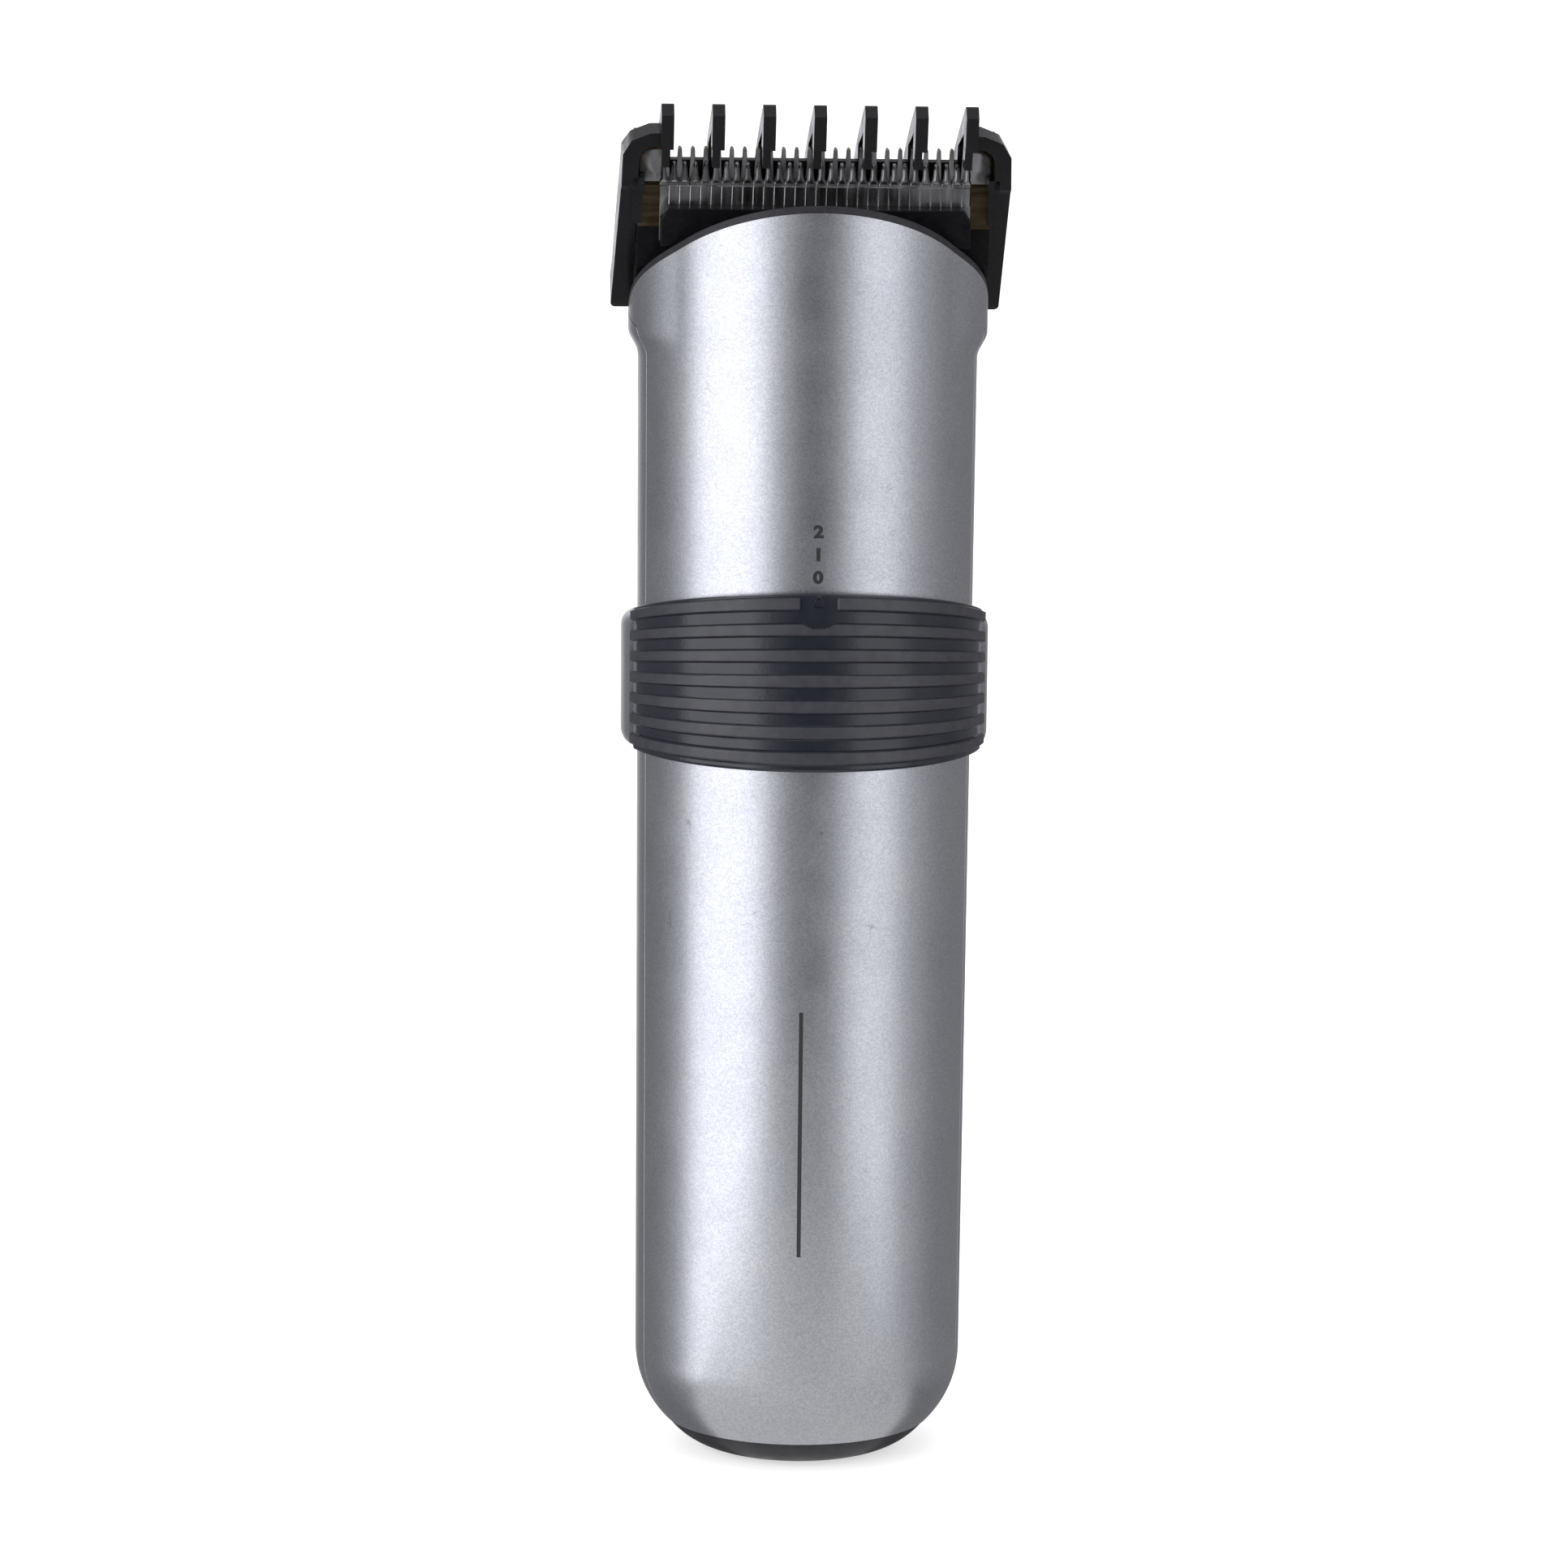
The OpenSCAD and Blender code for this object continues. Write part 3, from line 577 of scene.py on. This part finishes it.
def printed_digit(name, text, z, ink):
    """A digit of the switch scale, printed on the front of the handle."""
    height, stretch, offset = 1.62, 1.18, 0.02
    curve = bpy.data.curves.new(name + "_outline", "FONT")
    curve.body = text
    curve.offset = 0.05
    curve.resolution_u = 6
    source = bpy.data.objects.new(name + "_outline", curve)
    bpy.context.scene.collection.objects.link(source)
    bpy.context.view_layer.update()
    mesh = bpy.data.meshes.new_from_object(source)
    bm = bmesh.new()
    bm.from_mesh(mesh)
    bpy.data.objects.remove(source)
    xs = [v.co.x for v in bm.verts]
    ys = [v.co.y for v in bm.verts]
    scale = height / (max(ys) - min(ys))
    for v in bm.verts:
        across = (v.co.x - (max(xs) + min(xs)) / 2) * scale * stretch
        up = (v.co.y - min(ys)) * scale + z - height / 2
        angle = across / grip_radius(z)
        v.co = handle_point(angle, up, -offset)
    return new_piece(name, bm, "handle", [ink])


def printed_line(name, angle, width, z0, z1, ink):
    """A plain printed line along the handle."""
    half = width / 2 / GRIP_R_LOW
    bm = bmesh.new()
    rows = [[bm.verts.new(handle_point(a, z, -0.02)) for a in spread(angle - half, angle + half, 3)]
            for z in spread(z0, z1, 24)]
    grid_between(bm, rows)
    return new_piece(name, bm, "handle", [ink])


# ---- materials ----


class Nodes:
    """A short way to write a material's node tree."""

    def __init__(self, name):
        self.material = bpy.data.materials.new(name)
        self.material.use_nodes = True
        self.tree = self.material.node_tree
        self.shader = self.tree.nodes["Principled BSDF"]
        self.place = self.add("ShaderNodeTexCoord").outputs["Object"]

    def add(self, kind, **settings):
        """Adds a node with the given properties."""
        node = self.tree.nodes.new(kind)
        for key, value in settings.items():
            setattr(node, key, value)
        return node

    def link(self, output, node, socket):
        """Joins an output to a node's input socket."""
        self.tree.links.new(output, node.inputs[socket])

    def set(self, **values):
        """Sets shader sockets: underscores stand for spaces."""
        for key, value in values.items():
            self.shader.inputs[key.replace("_", " ")].default_value = value

    def stretched(self, x, y, z, lean=0):
        """Object coordinates scaled per axis, after turning back by the head's lean."""
        mapping = self.add("ShaderNodeMapping")
        if lean:
            turned = self.add("ShaderNodeMapping")
            turned.inputs["Rotation"].default_value = (-lean, 0, 0)
            self.link(self.place, turned, "Vector")
            self.link(turned.outputs[0], mapping, "Vector")
        else:
            self.link(self.place, mapping, "Vector")
        mapping.inputs["Scale"].default_value = (x, y, z)
        return mapping.outputs[0]

    def noise(self, size, detail=3, rough=0.5, vector=None):
        """Noise whose features are about size millimetres across."""
        node = self.add("ShaderNodeTexNoise")
        node.inputs["Scale"].default_value = 1 / (size * MM)
        node.inputs["Detail"].default_value = detail
        node.inputs["Roughness"].default_value = rough
        self.link(vector or self.place, node, "Vector")
        return node.outputs["Fac"]

    def cells(self, size):
        """Random value per cell, for flakes about size millimetres across."""
        node = self.add("ShaderNodeTexVoronoi")
        node.inputs["Scale"].default_value = 1 / (size * MM)
        self.link(self.place, node, "Vector")
        return node.outputs["Color"]

    def remap(self, value, from_low, from_high, to_low, to_high):
        """Value mapped from one range to another, and held inside the second."""
        node = self.add("ShaderNodeMapRange", clamp=True)
        self.link(value, node, "Value")
        for socket, number in zip(("From Min", "From Max", "To Min", "To Max"),
                                  (from_low, from_high, to_low, to_high)):
            node.inputs[socket].default_value = number
        return node.outputs["Result"]

    def mix(self, factor, a, b):
        """Colour between a and b, each a colour or an output."""
        node = self.add("ShaderNodeMix", data_type="RGBA")
        self.link(factor, node, "Factor")
        for socket, value in ((6, a), (7, b)):
            if isinstance(value, tuple):
                node.inputs[socket].default_value = (*value, 1)
            else:
                self.tree.links.new(value, node.inputs[socket])
        return node.outputs[2]

    def maths(self, operation, a, b):
        """Result of an operation on two numbers or outputs."""
        node = self.add("ShaderNodeMath", operation=operation)
        for socket, value in ((0, a), (1, b)):
            if isinstance(value, (int, float)):
                node.inputs[socket].default_value = value
            else:
                self.tree.links.new(value, node.inputs[socket])
        return node.outputs[0]

    def bump(self, height, strength, distance):
        """Adds a bump of distance millimetres to the shader, over any earlier one."""
        node = self.add("ShaderNodeBump")
        node.inputs["Strength"].default_value = strength
        node.inputs["Distance"].default_value = distance * MM
        self.link(height, node, "Height")
        earlier = self.shader.inputs["Normal"].links
        if earlier:
            self.link(earlier[0].from_socket, node, "Normal")
        self.link(node.outputs[0], self.shader, "Normal")

    def scratches(self, size, share):
        """1 on sparse thin curved scratches and 0 elsewhere."""
        bend = self.noise(size * 1.7, 2)
        line = self.remap(self.maths("ABSOLUTE", self.maths("SUBTRACT", bend, 0.5), 0),
                          0, 0.004, 1, 0)
        patch = self.remap(self.noise(size * 0.9, 1), 1 - share, 1 - share + 0.03, 0, 1)
        return self.maths("MULTIPLY", line, patch)


def silver_lacquer():
    """Metallic lacquer with fine flakes, small scratches and a slight wear."""
    n = Nodes("silver_lacquer")
    n.set(Metallic=1.0, Coat_Weight=0.3, Coat_Roughness=0.25)
    flakes = n.add("ShaderNodeSeparateColor")
    n.link(n.cells(0.16), flakes, "Color")
    tone = n.mix(flakes.outputs[0], (0.46, 0.47, 0.505), (0.62, 0.63, 0.665))
    cloud = n.mix(n.remap(n.noise(14), 0.3, 0.7, 0, 1), (0.93, 0.94, 0.96), (1, 1, 1))
    blend = n.add("ShaderNodeMix", data_type="RGBA", blend_type="MULTIPLY")
    blend.inputs["Factor"].default_value = 1
    n.tree.links.new(tone, blend.inputs[6])
    n.tree.links.new(cloud, blend.inputs[7])
    scuff = n.scratches(3.2, 0.36)
    n.link(n.mix(scuff, blend.outputs[2], (0.36, 0.36, 0.38)), n.shader, "Base Color")
    n.link(n.remap(n.noise(6), 0.3, 0.7, 0.3, 0.36), n.shader, "Roughness")
    n.bump(flakes.outputs[1], 0.1, 0.01)
    n.bump(scuff, 0.25, 0.02)
    return n.material


def satin_plastic(name, colour, rough, speck=0.15, shine=0.5):
    """Moulded plastic: fine texture, uneven gloss and pale dust specks."""
    n = Nodes(name)
    n.set(Specular_IOR_Level=shine)
    light = tuple(c * 1.5 + 0.001 for c in colour)
    tone = n.mix(n.remap(n.noise(1.1, 4), 0.3, 0.7, 0, 1), colour, light)
    dust = n.remap(n.noise(0.35, 2, 0.7), 0.72, 0.78, 0, speck)
    n.link(n.mix(dust, tone, (0.3, 0.3, 0.32)), n.shader, "Base Color")
    n.link(n.remap(n.noise(2.5), 0.3, 0.7, rough - 0.05, rough + 0.07), n.shader, "Roughness")
    n.bump(n.noise(0.14, 3), 0.16, 0.03)
    return n.material


def groove_plastic():
    """Glossy floor of the ring's grooves, with a coarse orange peel that breaks highlights up."""
    n = Nodes("groove_plastic")
    n.set(Specular_IOR_Level=0.5)
    tone = n.mix(n.noise(1.5, 3), (0.005, 0.006, 0.01), (0.01, 0.011, 0.016))
    n.link(tone, n.shader, "Base Color")
    n.link(n.remap(n.noise(1.2), 0.3, 0.7, 0.1, 0.2), n.shader, "Roughness")
    n.bump(n.noise(0.5, 2), 0.3, 0.06)
    n.bump(n.noise(0.16, 2), 0.15, 0.02)
    return n.material


def gloss_black():
    """Glossy black plastic of the comb: grainy sheen, dust and hairline scratches."""
    n = Nodes("gloss_black")
    n.set(Specular_IOR_Level=0.5)
    dust = n.remap(n.noise(0.3, 2, 0.7), 0.74, 0.78, 0, 0.35)
    tone = n.mix(dust, (0.0035, 0.0035, 0.004), (0.12, 0.12, 0.13))
    n.link(tone, n.shader, "Base Color")
    n.link(n.remap(n.noise(3), 0.3, 0.7, 0.16, 0.3), n.shader, "Roughness")
    n.bump(n.noise(0.22, 2), 0.14, 0.025)
    n.bump(n.scratches(2.2, 0.45), 0.3, 0.02)
    return n.material


def ground_steel(name, dark, light, rough, streak, brown=0.0):
    """Ground blade steel: streaks along one direction, stains and small marks."""
    n = Nodes(name)
    n.set(Metallic=1.0)
    streaks = n.noise(1, 4, 0.6, n.stretched(*streak, lean=LEAN))
    tone = n.mix(n.remap(streaks, 0.3, 0.7, 0, 1), dark, light)
    stain = n.remap(n.noise(2.2, 4, 0.6), 0.5, 0.8, 0, 0.35 + brown)
    n.link(n.mix(stain, tone, tuple(c * f for c, f in zip(dark, (0.8, 0.66, 0.5)))),
           n.shader, "Base Color")
    n.link(n.remap(streaks, 0.3, 0.7, rough - 0.07, rough + 0.1), n.shader, "Roughness")
    n.bump(streaks, 0.35, 0.02)
    n.bump(n.noise(0.2, 2), 0.12, 0.01)
    return n.material


def plain_steel(name, colour, rough):
    """Turned or plated metal of the screws, the shaft and the motor."""
    n = Nodes(name)
    n.set(Metallic=1.0)
    tone = n.mix(n.noise(1.5, 4), colour, tuple(c * 0.78 for c in colour))
    n.link(tone, n.shader, "Base Color")
    n.link(n.remap(n.noise(0.9), 0.3, 0.7, rough - 0.08, rough + 0.1), n.shader, "Roughness")
    n.bump(n.noise(0.12, 2), 0.15, 0.01)
    return n.material


def circuit_green():
    """Solder mask over faint copper tracks."""
    n = Nodes("circuit_green")
    tracks = n.add("ShaderNodeTexBrick")
    tracks.inputs["Scale"].default_value = 260
    n.link(n.place, tracks, "Vector")
    tone = n.mix(tracks.outputs["Fac"], (0.012, 0.085, 0.03), (0.03, 0.16, 0.06))
    n.link(tone, n.shader, "Base Color")
    n.link(n.remap(n.noise(1.2), 0.3, 0.7, 0.25, 0.4), n.shader, "Roughness")
    return n.material


def printing_ink():
    """Black pad-printed ink, slightly uneven."""
    n = Nodes("printing_ink")
    n.link(n.mix(n.noise(0.3), (0.008, 0.008, 0.01), (0.02, 0.02, 0.022)), n.shader, "Base Color")
    n.link(n.remap(n.noise(0.5), 0.3, 0.7, 0.3, 0.42), n.shader, "Roughness")
    return n.material


def backdrop_white():
    """Pale paper of the floor and the backdrop."""
    n = Nodes("backdrop_white")
    n.set(Roughness=0.9, Specular_IOR_Level=0.1, Emission_Strength=0.55,
          Emission_Color=(1, 1, 1, 1))
    n.link(n.mix(n.noise(60), (0.6, 0.6, 0.605), (0.64, 0.64, 0.645)), n.shader, "Base Color")
    return n.material


def glowing_card():
    """Glow of the floor as the handle mirrors it, brighter on the left."""
    n = Nodes("glowing_card")
    n.set(Roughness=1.0, Emission_Color=(1, 1, 1, 1))
    n.link(n.mix(n.noise(60), (0, 0, 0), (0.01, 0.01, 0.01)), n.shader, "Base Color")
    across = n.add("ShaderNodeSeparateXYZ")
    n.link(n.place, across, 0)
    n.link(n.remap(across.outputs[0], -0.09, 0.09, 0.85, 0.45), n.shader, "Emission Strength")
    return n.material


# ---- carried-over CAD nodes ----


def dress(node, material, bevel=0.0):
    """Gives a CAD node its finish, and rounds its edges if it is seen from close by."""
    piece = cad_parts[node]
    for place in range(len(piece.material_slots)):
        piece.material_slots[place].material = material
    if bevel:
        weld = piece.modifiers.new("joined corners", "WELD")
        weld.merge_threshold = 0.0005 * MM
        round_edges(piece, bevel)


def dress_frame(finishes):
    """Finishes every CAD node that stays visible."""
    plan = {
        "charcoal": ("base_cap",),
        "screw": ("cap_screws", "shell_screws", "motor_screws", "motor_shaft", "cam_pin",
                  "blade_screws", "spring_screws"),
        "inner": ("dc_jack", "motor_mount", "switch_body", "ring_tab"),
        "brass": ("jack_pin",),
        "board": ("circuit_board",),
        "component": ("charge_parts",),
        "sleeve": ("battery_cells",),
        "nickel": ("battery_straps", "motor_can"),
        "lead": ("battery_leads", "motor_leads"),
        "ivory": ("motor_end_bell", "eccentric_cam", "switch_knob"),
        "black": ("head_carrier", "drive_fork"),
        "spring": ("pressure_spring",)}
    rounded = {"head_carrier": 0.18, "drive_fork": 0.16}
    for finish, nodes in plan.items():
        for node in nodes:
            dress(node, finishes[finish], rounded.get(node, 0))


# ---- studio ----


def backdrop(finish):
    """Pale floor that curves up into a wall all round. Reflections come from ambient() instead."""
    flat, bend, height = 1.3, 0.8, 2.2
    bowl = [(0.0005, 0), (0.3, 0), (flat, 0)]
    bowl += [(flat + bend * math.sin(a), bend - bend * math.cos(a))
             for a in spread(0, math.pi / 2, 16)[1:]]
    bowl.append((flat + bend, height))
    sheet = turned_sheet("backdrop", bowl, finish)
    sheet.visible_glossy = False
    sheet.visible_shadow = False


def floor_card(finish):
    """Dim card under the front of the handle: the only part of the floor that is mirrored."""
    card = turned_sheet("floor_card", [(0.0005, 0), (0.095, 0)], finish)
    card.location.y = -0.105
    card.visible_camera = False
    card.visible_diffuse = False
    card.visible_shadow = False


def turned_sheet(name, profile, finish):
    """A sheet of the stage, turned round the vertical axis from (radius, height) points."""
    steps = 96
    bm = bmesh.new()
    rows = [[bm.verts.new((r * math.cos(2 * math.pi * i / steps),
                           r * math.sin(2 * math.pi * i / steps), z)) for i in range(steps)]
            for r, z in profile]
    grid_between(bm, rows, closed=True)
    mesh = bpy.data.meshes.new(name)
    bm.to_mesh(mesh)
    bm.free()
    mesh.materials.append(finish)
    mesh.polygons.foreach_set("use_smooth", [True] * len(mesh.polygons))
    sheet = bpy.data.objects.new(name, mesh)
    bpy.context.scene.collection.objects.link(sheet)
    return sheet


def softbox(name, azimuth, height, distance, width, tall, watts):
    """A soft lamp aimed at the handle. Azimuth 0 is the camera's side and 90 is on the right."""
    lamp = bpy.data.lights.new(name, "AREA")
    lamp.shape = "RECTANGLE"
    lamp.size = width
    lamp.size_y = tall
    lamp.energy = watts
    holder = bpy.data.objects.new(name, lamp)
    bpy.context.scene.collection.objects.link(holder)
    a = math.radians(azimuth)
    holder.location = (distance * math.sin(a), -distance * math.cos(a), height)
    aim = Vector((0, 0, 0.1)) - holder.location
    holder.rotation_euler = aim.to_track_quat("-Z", "Y").to_euler()
    holder.visible_camera = False
    holder.visible_glossy = False


def ambient():
    """What shiny parts mirror: two tall soft lights, a dim camera side and a pale rear."""
    world = bpy.data.worlds.new("studio")
    world.use_nodes = True
    bpy.context.scene.world = world
    tree = world.node_tree
    sky = tree.nodes["Background"]

    def node(kind, *inputs, **settings):
        made = tree.nodes.new(kind)
        for key, value in settings.items():
            setattr(made, key, value)
        for socket, value in inputs:
            if isinstance(value, (int, float, tuple)):
                made.inputs[socket].default_value = value
            else:
                tree.links.new(value, made.inputs[socket])
        return made.outputs

    def fade(value, start, end):
        return node("ShaderNodeMapRange", ("Value", value), ("From Min", start),
                    ("From Max", end), interpolation_type="SMOOTHSTEP")["Result"]

    def blend(factor, first, second):
        return node("ShaderNodeMix", ("Factor", factor), (6, first), (7, second),
                    data_type="RGBA")[2]

    direction = tree.nodes.new("ShaderNodeTexCoord").outputs["Generated"]
    x, y, z = node("ShaderNodeSeparateXYZ", (0, direction))
    front = node("ShaderNodeMath", (0, y), (1, -1.0), operation="MULTIPLY")[0]
    turn = node("ShaderNodeMath", (0, x), (1, front), operation="ARCTAN2")[0]
    around = node("ShaderNodeMapRange", ("Value", turn), ("From Min", -math.pi),
                  ("From Max", math.pi))["Result"]
    ring = tree.nodes.new("ShaderNodeValToRGB")
    tree.links.new(around, ring.inputs[0])
    ring.color_ramp.interpolation = "EASE"
    stops = ((-180, 0.1), (-125, 0.11), (-94, 0.2), (-80, 1.0), (-40, 1.05), (-22, 0.24),
             (-8, 0.07), (8, 0.07), (20, 0.2), (34, 0.68), (54, 0.68), (74, 0.26), (105, 0.14),
             (180, 0.1))
    for place, (azimuth, value) in enumerate(stops):
        if place < 2:
            stop = ring.color_ramp.elements[place]
            stop.position = azimuth / 360 + 0.5
        else:
            stop = ring.color_ramp.elements.new(azimuth / 360 + 0.5)
        stop.color = (value, value, value * 1.03, 1)
    low_part = blend(fade(z, -0.5, -0.3), (0.1, 0.1, 0.105, 1), ring.outputs[0])
    rear = blend(fade(y, 0.93, 0.98), low_part, (0.55, 0.55, 0.59, 1))
    top = blend(fade(z, 0.5, 0.85), rear, (0.3, 0.3, 0.31, 1))
    tree.links.new(top, sky.inputs["Color"])
    sky.inputs["Strength"].default_value = 2.0


def camera():
    """Camera a little above and to the left of the front, as the picture was taken."""
    distance, target = 600, Vector((-2.4, 0, 85.8))
    azimuth, elevation, roll = math.radians(-4.1), math.radians(7.5), math.radians(0.6)
    away = Vector((math.sin(azimuth) * math.cos(elevation),
                   -math.cos(azimuth) * math.cos(elevation), math.sin(elevation)))
    right = away.cross(Vector((0, 0, -1))).normalized()
    up = right.cross(-away).normalized()
    tilted_right = right * math.cos(roll) + up * math.sin(roll)
    tilted_up = up * math.cos(roll) - right * math.sin(roll)
    turn = Matrix((tilted_right, tilted_up, away)).transposed()
    data = bpy.data.cameras.new("camera")
    data.sensor_width = 36
    data.lens = 108
    holder = bpy.data.objects.new("camera", data)
    bpy.context.scene.collection.objects.link(holder)
    holder.matrix_world = Matrix.Translation((target + away * distance) * MM) @ turn.to_4x4()
    bpy.context.scene.camera = holder
    bpy.context.scene.view_settings.view_transform = "Standard"


def studio():
    """Floor, lamps, ambient light and camera."""
    backdrop(backdrop_white())
    floor_card(glowing_card())
    softbox("key", -54, 0.3, 0.75, 0.6, 0.62, 3.4)
    softbox("fill", 54, 0.32, 0.75, 0.6, 0.6, 1.4)
    softbox("top", 10, 0.85, 0.25, 0.6, 0.5, 1)
    softbox("back", 180, 0.5, 0.9, 0.6, 0.5, 1.5)
    ambient()
    camera()


# ---- the object ----


def finishes():
    """The named materials of the object."""
    return {
        "charcoal": satin_plastic("charcoal_plastic", (0.01, 0.01, 0.0125), 0.42, 0.15, 0.28),
        "rib": satin_plastic("rib_plastic", (0.013, 0.0135, 0.018), 0.4, 0.1, 0.6),
        "black": satin_plastic("black_plastic", (0.002, 0.002, 0.0025), 0.26, 0.06, 0.16),
        "inner": satin_plastic("inner_plastic", (0.02, 0.02, 0.022), 0.5, 0.05),
        "ivory": satin_plastic("ivory_plastic", (0.62, 0.6, 0.53), 0.4, 0.02),
        "component": satin_plastic("component_plastic", (0.05, 0.05, 0.09), 0.35, 0.05),
        "sleeve": satin_plastic("cell_sleeve", (0.03, 0.2, 0.09), 0.3, 0.05),
        "lead": satin_plastic("lead_plastic", (0.3, 0.02, 0.02), 0.45, 0.03),
        "screw": plain_steel("screw_steel", (0.6, 0.6, 0.62), 0.32),
        "spring": plain_steel("spring_steel", (0.55, 0.55, 0.57), 0.25),
        "nickel": plain_steel("nickel_plate", (0.66, 0.64, 0.6), 0.28),
        "brass": plain_steel("contact_brass", (0.75, 0.58, 0.28), 0.25),
        "board": circuit_green()}


def build():
    """All the visible pieces of the clipper."""
    finish = finishes()
    lacquer = silver_lacquer()
    ink = printing_ink()
    shell("front_shell", True, lacquer)
    shell("rear_shell", False, lacquer)
    head_bezel(finish["charcoal"])
    ring_grip(finish["rib"], groove_plastic())
    ring_back(lacquer)
    steel = ground_steel("blade_steel", (0.42, 0.42, 0.43), (0.6, 0.6, 0.61), 0.3, (1, 1, 0.4))
    cutter = ground_steel("cutter_steel", (0.3, 0.3, 0.31), (0.46, 0.46, 0.47), 0.24,
                          (1, 1, 0.12))
    band = ground_steel("blade_band", (0.05, 0.036, 0.018), (0.16, 0.12, 0.075), 0.36,
                        (0.06, 1, 1), 0.3)
    edge = ground_steel("worn_edge", (0.3, 0.2, 0.12), (0.55, 0.42, 0.28), 0.4, (1, 1, 1), 0.2)
    fixed_blade(steel, band, edge)
    moving_blade(cutter)
    guide_comb(gloss_black())
    for text, z in (("2", 119.7), ("1", 116.9), ("0", 114.1)):
        printed_digit("digit_" + text, text, z, ink)
    printed_line("stripe", -0.07, 0.5, 29, 60, ink)
    dress_frame(finish)


build()
studio()
